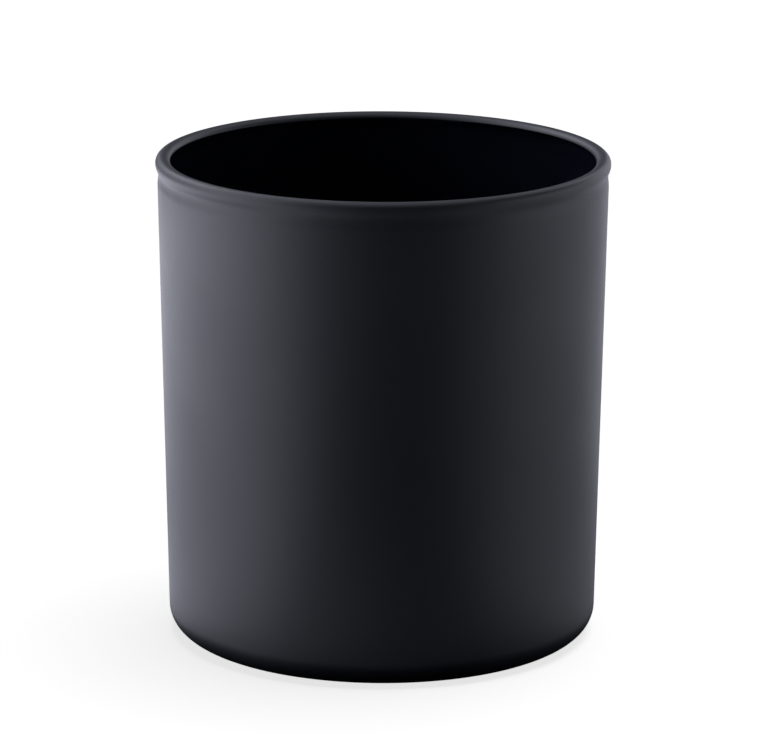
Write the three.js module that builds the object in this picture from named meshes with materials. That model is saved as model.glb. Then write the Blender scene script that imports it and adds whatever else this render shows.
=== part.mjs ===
// Empty candle jar: a straight-sided clear glass tumbler with a rolled rim, lacquered matte black outside.
// Millimetres, +Z up. The origin is the centre of the ring that the jar stands on.
// Both pieces are turned about Z, from one outline of the glass, so the lacquer follows the glass wherever it goes.
import * as THREE from "three";

// Glass, outside
const glassHeight = 87.0; // standing ring to the crest of the rim
const neckDiameter = 80.0; // the wall's widest place, just under the rim
const wallDraft = 1.13; // degrees, the wall narrows downwards
const heelRadius = 4.7; // rounding between the wall and the underside
const standingRingWidth = 3.4; // the flat that the jar stands on
const puntDepth = 1.6; // hollow of the underside, at its centre

// Glass, inside
const neckWall = 2.0; // wall at the neck
const heelWall = 3.0; // wall at the level of the inside floor
const floorThickness = 7.4; // standing ring to the inside floor
const floorCornerRadius = 6.0; // rounding between the inside floor and the wall

// Rolled rim
const beadProjection = 0.38; // how far the rim's roll stands out past the neck
const beadHeight = 3.15; // crest of the rim to the groove under the roll
const beadWidestDepth = 1.05; // crest of the rim to the roll's widest place
const grooveDepth = 0.12; // how far the groove cuts in past the neck
const shoulderHeight = 2.0; // groove to the full width of the neck
const crestInset = 1.3; // crest of the rim to the mouth's edge, sideways
const mouthEdgeDepth = 0.85; // crest of the rim to the mouth's edge, downwards

// Lacquer
const coatThickness = 0.12; // all over the outside, the rim and the underside

// Fineness of the round shapes
const turnSteps = 64;
const arcSteps = 5;
const slightArcSteps = 3;

const neckRadius = neckDiameter / 2;
const draft = THREE.MathUtils.degToRad(wallDraft);
const glassFoot = coatThickness; // the glass stands on its lacquer
const glassTop = glassFoot + glassHeight;
const grooveLevel = glassTop - beadHeight;
const neckLevel = grooveLevel - shoulderHeight;
const heelLevel = glassFoot + heelRadius; // height of the heel rounding's centre
const floorLevel = glassFoot + floorThickness;
const mouthEdgeLevel = glassTop - mouthEdgeDepth;
const mouthRadius = neckRadius - neckWall;

// Radius of the heel rounding's centre, for a rounding that runs into the wall and the underside without a corner.
const heelCentre = neckRadius - heelRadius / Math.cos(draft) - (neckLevel - heelLevel) * Math.tan(draft);

// Outside radius of the drafted wall at a height.
function wallRadiusAt(level) {
  return neckRadius - (neckLevel - level) * Math.tan(draft);
}

// Points of a curve in radius and height. The first is left out where the outline already ends there.
function pointsOf(curve, steps, keepFirst = false) {
  return curve.getPoints(steps).slice(keepFirst ? 0 : 1);
}

// A rounding about a centre, between two angles, as wide and as high as given.
function rounding(radius, level, width, height, startAngle, endAngle) {
  return new THREE.EllipseCurve(radius, level, width, height, startAngle, endAngle, endAngle < startAngle);
}

// A smooth step between two points, which leaves and arrives upright.
function smoothStep(from, to) {
  const middle = (from.y + to.y) / 2;
  const leave = new THREE.Vector2(from.x, middle);
  const arrive = new THREE.Vector2(to.x, middle);
  return new THREE.CubicBezierCurve(from, leave, arrive, to);
}

// The shallow hollow of the underside, from the axis out to the standing ring.
function puntOutline() {
  const puntRadius = heelCentre - standingRingWidth;
  const dishRadius = (puntRadius ** 2 + puntDepth ** 2) / (2 * puntDepth);
  const edgeAngle = Math.acos(puntRadius / dishRadius);
  const dish = rounding(0, glassFoot + puntDepth - dishRadius, dishRadius, dishRadius, Math.PI / 2, edgeAngle);
  return pointsOf(dish, slightArcSteps, true);
}

// The heel rounding, from the standing ring to the wall.
function heelOutline() {
  const heel = rounding(heelCentre, heelLevel, heelRadius, heelRadius, -Math.PI / 2, -draft);
  return pointsOf(heel, arcSteps, true);
}

// The shoulder, the groove, the rim's roll and its crest, down to the edge of the mouth.
function rimOutline() {
  const beadRadius = neckRadius + beadProjection;
  const crestRadius = mouthRadius + crestInset;
  const beadLevel = glassTop - beadWidestDepth;
  const neck = new THREE.Vector2(neckRadius, neckLevel);
  const groove = new THREE.Vector2(neckRadius - grooveDepth, grooveLevel);
  const widest = new THREE.Vector2(beadRadius, beadLevel);
  const outerRoll = rounding(crestRadius, beadLevel, beadRadius - crestRadius, beadWidestDepth, 0, Math.PI / 2);
  const innerRoll = rounding(crestRadius, mouthEdgeLevel, crestInset, mouthEdgeDepth, Math.PI / 2, Math.PI);
  return [
    neck,
    ...pointsOf(smoothStep(neck, groove), slightArcSteps),
    ...pointsOf(smoothStep(groove, widest), slightArcSteps),
    ...pointsOf(outerRoll, arcSteps),
    ...pointsOf(innerRoll, slightArcSteps),
  ];
}

// Outside of the glass, from the middle of the underside to the edge of the mouth.
function glassOutside() {
  return [...puntOutline(), ...heelOutline(), ...rimOutline()];
}

// Inside of the glass, from just below the edge of the mouth to the middle of the floor.
function glassInside() {
  const radius = wallRadiusAt(floorLevel) - heelWall;
  const slope = Math.atan2(mouthRadius - radius, mouthEdgeLevel - floorLevel);
  // Where the corner's rounding meets both the floor and the leaning wall.
  const centre = radius + floorCornerRadius * Math.tan(slope) - floorCornerRadius / Math.cos(slope);
  const centreLevel = floorLevel + floorCornerRadius;
  const corner = rounding(centre, centreLevel, floorCornerRadius, floorCornerRadius, -slope, -Math.PI / 2);
  return [...pointsOf(corner, arcSteps, true), new THREE.Vector2(0, floorLevel)];
}

// Direction square to a stretch of outline, away from the glass.
function outwards(from, to) {
  return new THREE.Vector2(to.y - from.y, from.x - to.x).normalize();
}

// An outline moved outwards by a distance, with each stretch kept parallel to itself.
function offsetOutline(outline, distance) {
  const last = outline.length - 1;
  return outline.map((point, i) => {
    const before = outwards(outline[Math.max(i - 1, 0)], outline[Math.max(i, 1)]);
    const after = outwards(outline[Math.min(i, last - 1)], outline[Math.min(i + 1, last)]);
    const moved = before.clone().add(after).multiplyScalar(distance / (1 + before.dot(after)));
    moved.add(point);
    if (i === 0) moved.x = 0; // the first point stays on the axis
    return moved;
  });
}

// A closed turned piece from an outline that starts and ends on the axis.
function turned(name, outline, material) {
  const piece = new THREE.Mesh(new THREE.LatheGeometry(outline, turnSteps), material);
  piece.name = name;
  piece.rotation.x = Math.PI / 2; // a lathe turns about Y, and the jar stands along Z
  return piece;
}

function glassTumbler() {
  const material = new THREE.MeshStandardMaterial({
    color: 0xd3dcda,
    roughness: 0.05,
    metalness: 0,
    transparent: true,
    opacity: 0.35,
  });
  return turned("glass_tumbler", [...glassOutside(), ...glassInside()], material);
}

function matteCoat() {
  const material = new THREE.MeshStandardMaterial({ color: 0x17181c, roughness: 0.6, metalness: 0 });
  const inner = glassOutside();
  const outer = offsetOutline(inner, coatThickness);
  return turned("matte_coat", [...outer, ...inner.reverse()], material);
}

const jar = new THREE.Group();
jar.name = "candle_jar";
jar.add(glassTumbler(), matteCoat());

export default jar;
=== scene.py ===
# Empty candle jar: a clear glass tumbler with a rolled rim, lacquered matte black outside.
# Metres, +Z up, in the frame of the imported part: the jar stands on the floor at the origin.
import math
import bmesh
import bpy
from mathutils import Euler, Matrix, Vector


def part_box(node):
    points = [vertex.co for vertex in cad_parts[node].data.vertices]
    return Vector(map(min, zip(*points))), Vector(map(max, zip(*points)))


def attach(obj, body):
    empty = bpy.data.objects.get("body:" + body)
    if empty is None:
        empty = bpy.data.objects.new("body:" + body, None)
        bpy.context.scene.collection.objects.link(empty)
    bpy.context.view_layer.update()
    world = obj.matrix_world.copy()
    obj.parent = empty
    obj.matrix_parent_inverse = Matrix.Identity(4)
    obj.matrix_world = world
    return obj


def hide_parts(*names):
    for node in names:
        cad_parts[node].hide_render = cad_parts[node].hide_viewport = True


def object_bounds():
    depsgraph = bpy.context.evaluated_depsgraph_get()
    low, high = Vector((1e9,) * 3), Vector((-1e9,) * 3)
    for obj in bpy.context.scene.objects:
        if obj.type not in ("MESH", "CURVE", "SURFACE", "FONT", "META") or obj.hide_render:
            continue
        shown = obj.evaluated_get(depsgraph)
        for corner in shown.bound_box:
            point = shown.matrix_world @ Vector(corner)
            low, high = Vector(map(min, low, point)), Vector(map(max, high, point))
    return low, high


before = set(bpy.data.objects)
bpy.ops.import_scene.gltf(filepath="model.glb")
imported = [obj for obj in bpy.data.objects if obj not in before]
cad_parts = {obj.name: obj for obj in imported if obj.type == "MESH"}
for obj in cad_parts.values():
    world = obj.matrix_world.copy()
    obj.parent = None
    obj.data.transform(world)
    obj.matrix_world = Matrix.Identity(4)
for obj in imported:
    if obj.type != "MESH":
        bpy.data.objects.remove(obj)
cadLow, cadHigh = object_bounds()
glassLow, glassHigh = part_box("glass_tumbler")
coatLow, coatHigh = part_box("matte_coat")
samePlace = 0.000001  # points nearer than this are one
white = (1, 1, 1, 1)


# Outlines are drawn in the XZ plane: X is the radius, Z the height. Each call adds to the last point.

def startOutline(bm, radius, level):
    return bmesh.ops.create_vert(bm, co=(radius, 0, level))["vert"][0]


def lineTo(bm, end, radius, level, steps=1):
    move = Vector((radius - end.co.x, 0, level - end.co.z)) / steps
    for step in range(steps):
        end = bmesh.ops.extrude_vert_indiv(bm, verts=[end])["verts"][0]
        bmesh.ops.translate(bm, verts=[end], vec=move)
    return end


# Turns the last point about a centre, anticlockwise if the turn is positive, then squeezes the arc about
# that centre.
def arcAbout(bm, end, radius, level, turn, steps, across=1, up=1):
    earlier = set(bm.verts)
    made = bmesh.ops.spin(bm, geom=[end], cent=(radius, 0, level), axis=(0, -1, 0), angle=turn, steps=steps)
    new = [vert for vert in bm.verts if vert not in earlier]
    bmesh.ops.scale(bm, verts=new, vec=(across, 1, up), space=Matrix.Translation((-radius, 0, -level)))
    return made["geom_last"][0]


# An S-bend of two equal arcs, which leaves and arrives upright.
def bendTo(bm, end, radius, level, steps):
    turn = 2 * math.atan2(radius - end.co.x, level - end.co.z)
    bend = (level - end.co.z) / (2 * math.sin(turn))
    end = arcAbout(bm, end, end.co.x + bend, end.co.z, -turn, steps)
    return arcAbout(bm, end, radius - bend, level, turn, steps)


# Spins the outline about the jar's axis, closes the poles and turns the faces outwards.
def turnOutline(bm, steps):
    outline = bm.verts[:] + bm.edges[:]
    bmesh.ops.spin(
        bm, geom=outline, cent=(0, 0, 0), axis=(0, 0, 1), angle=math.tau, steps=steps, use_merge=True
    )
    bmesh.ops.remove_doubles(bm, verts=bm.verts, dist=samePlace)
    bmesh.ops.recalc_face_normals(bm, faces=bm.faces)


glass = {
    "wallDraft": math.radians(1.13),  # the wall narrows downwards
    "heelRadius": 0.0047,
    "standingRing": 0.0034,  # width of the flat that the jar stands on
    "puntDepth": 0.0016,  # hollow of the underside
    "neckWall": 0.0020,
    "heelWall": 0.0030,
    "floorThickness": 0.0074,
    "floorCorner": 0.0060,
    "beadProjection": 0.00038,  # rim's roll past the neck
    "beadDepth": 0.00105,  # crest down to the roll's widest place
    "beadHeight": 0.00315,  # crest down to the groove under the roll
    "grooveDepth": 0.00012,
    "shoulderHeight": 0.0020,
    "crestInset": 0.0013,  # crest to the mouth's edge, sideways
    "mouthDepth": 0.00085,  # crest to the mouth's edge, downwards
    "markMargin": 0.2,  # part of the ring's width that is left plain beside the grip marks, on each side
    "markInset": 0.00016,
    "markDepth": 0.00012,
    "turnSteps": 240,
}

# How many parts each stretch of the outline has.
outlineSteps = {
    "punt": 24,
    "heel": 16,
    "wall": 20,
    "groove": 5,
    "underRoll": 6,
    "roll": 14,
    "crest": 8,
    "insideWall": 20,
    "corner": 14,
    "floor": 12,
}

glassFoot = glassLow.z
glassTop = glassHigh.z
beadRadius = glassHigh.x
beadLevel = glassTop - glass["beadDepth"]
neckRadius = beadRadius - glass["beadProjection"]
grooveLevel = glassTop - glass["beadHeight"]
neckLevel = grooveLevel - glass["shoulderHeight"]
heelLevel = glassFoot + glass["heelRadius"]
wallRise = neckLevel - heelLevel
wallInset = wallRise * math.tan(glass["wallDraft"])
heelCentre = neckRadius - wallInset - glass["heelRadius"] / math.cos(glass["wallDraft"])
puntRadius = heelCentre - glass["standingRing"]
floorLevel = glassFoot + glass["floorThickness"]
mouthRadius = neckRadius - glass["neckWall"]
mouthLevel = glassTop - glass["mouthDepth"]
crestRadius = mouthRadius + glass["crestInset"]


# From the middle of the underside, round the heel and up the wall, over the rim to the mouth's edge.
def outsideOutline(bm):
    dishRadius = (puntRadius ** 2 + glass["puntDepth"] ** 2) / (2 * glass["puntDepth"])
    dishTurn = math.asin(puntRadius / dishRadius)
    end = startOutline(bm, 0, glassFoot + glass["puntDepth"])
    dishLevel = glassFoot + glass["puntDepth"] - dishRadius
    end = arcAbout(bm, end, 0, dishLevel, -dishTurn, outlineSteps["punt"])
    margin = glass["standingRing"] * glass["markMargin"]
    end = lineTo(bm, end, puntRadius + margin, glassFoot)
    end = lineTo(bm, end, heelCentre - margin, glassFoot)
    end = lineTo(bm, end, heelCentre, glassFoot)
    heelTurn = math.pi / 2 - glass["wallDraft"]
    end = arcAbout(bm, end, heelCentre, heelLevel, heelTurn, outlineSteps["heel"])
    end = lineTo(bm, end, neckRadius, neckLevel, outlineSteps["wall"])
    end = bendTo(bm, end, neckRadius - glass["grooveDepth"], grooveLevel, outlineSteps["groove"])
    end = bendTo(bm, end, beadRadius, beadLevel, outlineSteps["underRoll"])
    up = glass["beadDepth"] / (beadRadius - crestRadius)
    end = arcAbout(bm, end, crestRadius, beadLevel, math.pi / 2, outlineSteps["roll"], up=up)
    across = glass["crestInset"] / glass["mouthDepth"]
    return arcAbout(bm, end, crestRadius, mouthLevel, math.pi / 2, outlineSteps["crest"], across=across)


# Down the inside wall, round the corner and in to the middle of the floor.
def insideOutline(bm, end):
    floorInset = (neckLevel - floorLevel) * math.tan(glass["wallDraft"])
    floorRadius = neckRadius - floorInset - glass["heelWall"]
    lean = math.atan2(mouthRadius - floorRadius, mouthLevel - floorLevel)
    corner = glass["floorCorner"]
    centre = floorRadius + corner * math.tan(lean) - corner / math.cos(lean)
    wallFoot = centre + corner * math.cos(lean)
    wallFootLevel = floorLevel + corner - corner * math.sin(lean)
    end = lineTo(bm, end, wallFoot, wallFootLevel, outlineSteps["insideWall"])
    end = arcAbout(bm, end, centre, floorLevel + corner, lean - math.pi / 2, outlineSteps["corner"])
    return lineTo(bm, end, 0, floorLevel, outlineSteps["floor"])


# Short grooves across the standing ring, on every other face of its middle band.
def addGripMarks(bm):
    middleRadius = puntRadius + glass["standingRing"] / 2
    near = glass["standingRing"] * glass["markMargin"] / 2
    band = []
    for face in bm.faces:
        centre = face.calc_center_median()
        if abs(centre.xy.length - middleRadius) < near and centre.z < glassFoot + samePlace:
            band.append(face)
    band.sort(key=lambda face: math.atan2(face.calc_center_median().y, face.calc_center_median().x))
    bmesh.ops.inset_individual(
        bm, faces=band[::2], thickness=glass["markInset"], depth=-glass["markDepth"], use_even_offset=True
    )


def finishPiece(bm, name, node, material):
    for face in bm.faces:
        face.smooth = True
    for edge in bm.edges:
        edge.smooth = not edge.is_boundary
    mesh = bpy.data.meshes.new(name)
    bm.to_mesh(mesh)
    bm.free()
    piece = bpy.data.objects.new(name, mesh)
    bpy.context.scene.collection.objects.link(piece)
    mesh.materials.append(material)
    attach(piece, "root")
    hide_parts(node)
    return piece


def newMaterial(name):
    material = bpy.data.materials.new(name)
    material.use_nodes = True
    return material, material.node_tree.nodes, material.node_tree.links


def addNoise(nodes, links, place, scale, detail):
    noise = nodes.new("ShaderNodeTexNoise")
    noise.inputs["Scale"].default_value = scale
    noise.inputs["Detail"].default_value = detail
    links.new(place.outputs["Object"], noise.inputs["Vector"])
    return noise


def addBump(nodes, links, noise, height):
    bump = nodes.new("ShaderNodeBump")
    bump.inputs["Distance"].default_value = height
    links.new(noise.outputs["Fac"], bump.inputs["Height"])
    return bump


def addRange(nodes, links, noise, lowest, highest, result):
    spread = nodes.new("ShaderNodeMapRange")
    spread.inputs["From Min"].default_value = lowest
    spread.inputs["From Max"].default_value = highest
    spread.inputs["To Min"].default_value = result[0]
    spread.inputs["To Max"].default_value = result[1]
    links.new(noise.outputs["Fac"], spread.inputs["Value"])
    return spread


glassFinish = {
    "tint": (0.95, 0.965, 0.97),
    "ior": 1.52,
    "roughness": (0.015, 0.035),
    "wavesPerMetre": 45,
    "waveDetail": 1,
    "waveHeight": 0.00003,
}


# Clear, with the slow waves of blown and pressed glass.
def clearGlass():
    material, nodes, links = newMaterial("clearGlass")
    shader = nodes["Principled BSDF"]
    shader.inputs["Base Color"].default_value = (*glassFinish["tint"], 1)
    shader.inputs["Transmission Weight"].default_value = 1
    shader.inputs["IOR"].default_value = glassFinish["ior"]
    place = nodes.new("ShaderNodeTexCoord")
    waves = addNoise(nodes, links, place, glassFinish["wavesPerMetre"], glassFinish["waveDetail"])
    bump = addBump(nodes, links, waves, glassFinish["waveHeight"])
    links.new(bump.outputs["Normal"], shader.inputs["Normal"])
    haze = addRange(nodes, links, waves, 0, 1, glassFinish["roughness"])
    links.new(haze.outputs["Result"], shader.inputs["Roughness"])
    return material


lacquer = {
    "outside": ((0.0034, 0.0044, 0.0072), (0.0050, 0.0064, 0.0104)),  # where it lies thick, and thin
    "underGlass": ((0.0070, 0.0082, 0.0150), (0.0110, 0.0132, 0.0230)),
    "roughness": (0.53, 0.57),
    "specular": 0.5,
    "mottlePerMetre": 60,
    "mottleDetail": 5,
    "mottleRange": (0.3, 0.7),
    "peelPerMetre": 1400,
    "peelHeight": 0.000012,
    "grainPerMetre": 9000,
    "grainHeight": 0.000003,
    "fineDetail": 2,  # of peel and grain
    "lap": 0.00005,  # the film's inner face reaches this far into the glass, so that no air shows between
}


# Mottled colour, as the passes of the spray gun lie a little unevenly.
def addMottle(nodes, links, place, shader, colours):
    mottle = addNoise(nodes, links, place, lacquer["mottlePerMetre"], lacquer["mottleDetail"])
    colour = nodes.new("ShaderNodeMix")
    colour.data_type = "RGBA"
    colour.inputs["A"].default_value = (*colours[0], 1)
    colour.inputs["B"].default_value = (*colours[1], 1)
    links.new(mottle.outputs["Fac"], colour.inputs["Factor"])
    links.new(colour.outputs["Result"], shader.inputs["Base Color"])
    return mottle


# The outside, with the orange peel of the dried spray and the grain of its matting powder.
def matteLacquer():
    material, nodes, links = newMaterial("matteLacquer")
    shader = nodes["Principled BSDF"]
    shader.inputs["Specular IOR Level"].default_value = lacquer["specular"]
    place = nodes.new("ShaderNodeTexCoord")
    mottle = addMottle(nodes, links, place, shader, lacquer["outside"])
    dullness = addRange(nodes, links, mottle, *lacquer["mottleRange"], lacquer["roughness"])
    links.new(dullness.outputs["Result"], shader.inputs["Roughness"])
    peel = addNoise(nodes, links, place, lacquer["peelPerMetre"], lacquer["fineDetail"])
    grain = addNoise(nodes, links, place, lacquer["grainPerMetre"], lacquer["fineDetail"])
    peelBump = addBump(nodes, links, peel, lacquer["peelHeight"])
    grainBump = addBump(nodes, links, grain, lacquer["grainHeight"])
    links.new(peelBump.outputs["Normal"], grainBump.inputs["Normal"])
    links.new(grainBump.outputs["Normal"], shader.inputs["Normal"])
    return material


# The film's face against the glass, which is wetted out and mirrors nothing.
def lacquerUnderGlass():
    material, nodes, links = newMaterial("lacquerUnderGlass")
    shader = nodes["Principled BSDF"]
    shader.inputs["Specular IOR Level"].default_value = 0
    shader.inputs["Roughness"].default_value = 1
    place = nodes.new("ShaderNodeTexCoord")
    addMottle(nodes, links, place, shader, lacquer["underGlass"])
    return material


def makeGlass():
    bm = bmesh.new()
    insideOutline(bm, outsideOutline(bm))
    turnOutline(bm, glass["turnSteps"])
    addGripMarks(bm)
    return finishPiece(bm, "glassTumbler", "glass_tumbler", clearGlass())


def makeCoat():
    bm = bmesh.new()
    outsideOutline(bm)
    turnOutline(bm, glass["turnSteps"])
    addGripMarks(bm)
    coat = finishPiece(bm, "matteCoat", "matte_coat", matteLacquer())
    thickness = glassLow.z - coatLow.z
    film = coat.modifiers.new("film", "SOLIDIFY")
    film.thickness = thickness + lacquer["lap"]
    film.offset = 2 * thickness / film.thickness - 1
    coat.data.materials.append(lacquerUnderGlass())
    film.material_offset = 1  # for the inner face
    return coat


glassPiece = makeGlass()
print("glass turned")
coatPiece = makeCoat()
print("lacquer sprayed")


studio = {
    "floorSize": 8,
    "floorColour": (0.9, 0.9, 0.9),
    "floorGlow": 0.76,
    "keyGlow": 3.4,  # of the main cards, from which all the others are counted down in stops
    "cardColour": (0.863, 0.875, 1.0),
    "cardDistance": 0.65,
    "lowCards": (0, 0.35),  # bottom and top of the standing cards, and of the ones over them
    "highCards": (0.35, 0.9),
    "cardStep": 0.0002,  # each lying card is this much higher, as lamps in one plane hide each other
    "overhead": {"size": 1, "height": 1, "stops": 1.5},
    "shadowLight": {"azimuth": 120, "elevation": 80, "spread": 45, "strength": 1.0},
}

# White cards that stand round the jar. The azimuth counts from the front and is negative to the left, the
# width is in degrees, and the stops say how far a card is under the key.
standingCards = {
    "left": {"azimuth": -82, "width": 45, "reach": "lowCards", "stops": 0},
    "leftBehind": {"azimuth": -127, "width": 45, "reach": "lowCards", "stops": 2},
    "leftHigh": {"azimuth": -105, "width": 90, "reach": "highCards", "stops": 0},
    "behindLeftHigh": {"azimuth": -150, "width": 30, "reach": "highCards", "stops": 0},
    "right": {"azimuth": 90, "width": 60, "reach": "lowCards", "stops": 1},
    "rightBehind": {"azimuth": 135, "width": 30, "reach": "lowCards", "stops": 1},
    "behindRight": {"azimuth": 155, "width": 24, "reach": "lowCards", "stops": 1},
    "behindRightHigh": {"azimuth": 150, "width": 30, "reach": "highCards", "stops": 1},
}

# White cards that lie on the floor in three rings round the jar. Near and far are the edges of a card from
# the jar's axis, and stops says which azimuths have a card and how far it is under the key.
lyingCards = {
    "edge": {
        "width": 0.12, "near": 0.043, "far": 0.08,
        "stops": {-135: 4, -90: 1, -45: 3.5, 0: 4, 90: 2.5},
    },
    "middle": {
        "width": 0.3, "near": 0.07, "far": 0.17,
        "stops": {-90: 1.5, 90: 3, 180: 2},
    },
    "outer": {
        "width": 0.5, "near": 0.17, "far": 0.55,
        "stops": {-135: 1.5, -90: 0, 0: 4, 90: 2, 135: 4, 180: 1},
    },
}


def makeFloor():
    bm = bmesh.new()
    bmesh.ops.create_grid(bm, x_segments=1, y_segments=1, size=studio["floorSize"] / 2)
    bmesh.ops.translate(bm, verts=bm.verts, vec=(0, 0, cadLow.z))
    mesh = bpy.data.meshes.new("floor")
    bm.to_mesh(mesh)
    bm.free()
    floor = bpy.data.objects.new("floor", mesh)
    bpy.context.scene.collection.objects.link(floor)
    material, nodes, links = newMaterial("paleFloor")
    shader = nodes["Principled BSDF"]
    shader.inputs["Base Color"].default_value = (*studio["floorColour"], 1)
    shader.inputs["Roughness"].default_value = 1
    shader.inputs["Specular IOR Level"].default_value = 0
    shader.inputs["Emission Color"].default_value = white
    shader.inputs["Emission Strength"].default_value = studio["floorGlow"]
    mesh.materials.append(material)
    floor.visible_diffuse = False  # the floor shows, but the jar is lit by the cards alone
    floor.visible_glossy = False
    floor.visible_transmission = False
    floor.visible_shadow = False
    return floor


# White behind the jar, and dark for all that the jar mirrors.
def makeWorld():
    world = bpy.data.worlds.new("studio")
    bpy.context.scene.world = world
    world.use_nodes = True
    nodes, links = world.node_tree.nodes, world.node_tree.links
    seen = nodes.new("ShaderNodeLightPath")
    links.new(seen.outputs["Is Camera Ray"], nodes["Background"].inputs["Strength"])
    nodes["Background"].inputs["Color"].default_value = white


# Hangs a lamp and limits it to the things it is meant for.
def hangLamp(name, lamp, place, turned, lit):
    holder = bpy.data.objects.new(name, lamp)
    holder.location = place
    holder.rotation_euler = turned
    holder.visible_camera = False
    holder.light_linking.receiver_collection = lit
    bpy.context.scene.collection.objects.link(holder)


def aroundJar(azimuth, distance, level):
    turn = math.radians(azimuth)
    return Vector((math.sin(turn) * distance, -math.cos(turn) * distance, level))


# A turn that points a lamp at the jar's axis from a place.
def facingFrom(place):
    return place.to_track_quat("Z", "Y").to_euler()


# A card as a lamp, whose glow is the key's halved for every stop.
def cardLamp(name, width, height, stops):
    glow = studio["keyGlow"] / 2 ** stops
    lamp = bpy.data.lights.new(name, "AREA")
    lamp.shape = "RECTANGLE"
    lamp.size = width
    lamp.size_y = height
    lamp.color = studio["cardColour"]
    lamp.energy = glow * math.pi * width * height
    return lamp


def makeStandingCard(name, card, lit):
    distance = studio["cardDistance"]
    width = 2 * distance * math.tan(math.radians(card["width"] / 2))
    bottom, top = studio[card["reach"]]
    lamp = cardLamp(name, width, top - bottom, card["stops"])
    place = aroundJar(card["azimuth"], distance, (top + bottom) / 2)
    hangLamp(name, lamp, place, facingFrom(Vector((place.x, place.y, 0))), lit)


def makeLyingCard(name, ring, azimuth, level, lit):
    lamp = cardLamp(name, ring["width"], ring["far"] - ring["near"], ring["stops"][azimuth])
    place = aroundJar(azimuth, (ring["near"] + ring["far"]) / 2, level)
    hangLamp(name, lamp, place, Euler((math.pi, 0, math.radians(azimuth))), lit)


def makeTopLight(lit):
    wanted = studio["overhead"]
    lamp = cardLamp("overhead", wanted["size"], wanted["size"], wanted["stops"])
    place = Vector((0, 0, wanted["height"]))
    hangLamp("overhead", lamp, place, facingFrom(place), lit)


# Lights only the floor, for a soft shadow under the jar.
def makeShadowLight(lit):
    wanted = studio["shadowLight"]
    lamp = bpy.data.lights.new("shadowLight", "SUN")
    lamp.energy = wanted["strength"]
    lamp.angle = math.radians(wanted["spread"])
    place = aroundJar(wanted["azimuth"], 1, math.tan(math.radians(wanted["elevation"])))
    hangLamp("shadowLight", lamp, place, facingFrom(place), lit)


def collectionOf(name, objects):
    found = bpy.data.collections.new(name)
    for thing in objects:
        found.objects.link(thing)
    return found


jarOnly = collectionOf("jarOnly", [glassPiece, coatPiece])
floorOnly = collectionOf("floorOnly", [makeFloor()])
makeWorld()
for name, card in standingCards.items():
    makeStandingCard(name, card, jarOnly)
level = cadLow.z
for name, ring in lyingCards.items():
    for azimuth in ring["stops"]:
        level += studio["cardStep"]
        makeLyingCard(f"{name}{azimuth}", ring, azimuth, level, jarOnly)
makeTopLight(jarOnly)
makeShadowLight(floorOnly)
print("studio lit")


view = {
    "elevation": math.radians(14.80),
    "distance": 0.8237,
    "lens": 213.9,
    "aim": (0.00045, 0.00065, 0.00245),  # from the middle of the jar
    "roll": 0.0036,
    "clip": (0.01, 50),
}


def makeCamera():
    camera = bpy.data.objects.new("camera", bpy.data.cameras.new("camera"))
    camera.data.lens = view["lens"]
    camera.data.clip_start, camera.data.clip_end = view["clip"]
    middle = (cadLow + cadHigh) / 2
    back = Vector((0, -math.cos(view["elevation"]), math.sin(view["elevation"])))
    camera.location = middle + back * view["distance"]
    look = middle + Vector(view["aim"]) - camera.location
    turned = look.to_track_quat("-Z", "Y").to_matrix() @ Matrix.Rotation(view["roll"], 3, "Z")
    camera.rotation_euler = turned.to_euler()
    bpy.context.scene.collection.objects.link(camera)
    bpy.context.scene.camera = camera


makeCamera()
bpy.context.scene.view_settings.view_transform = "Standard"
print("camera set")
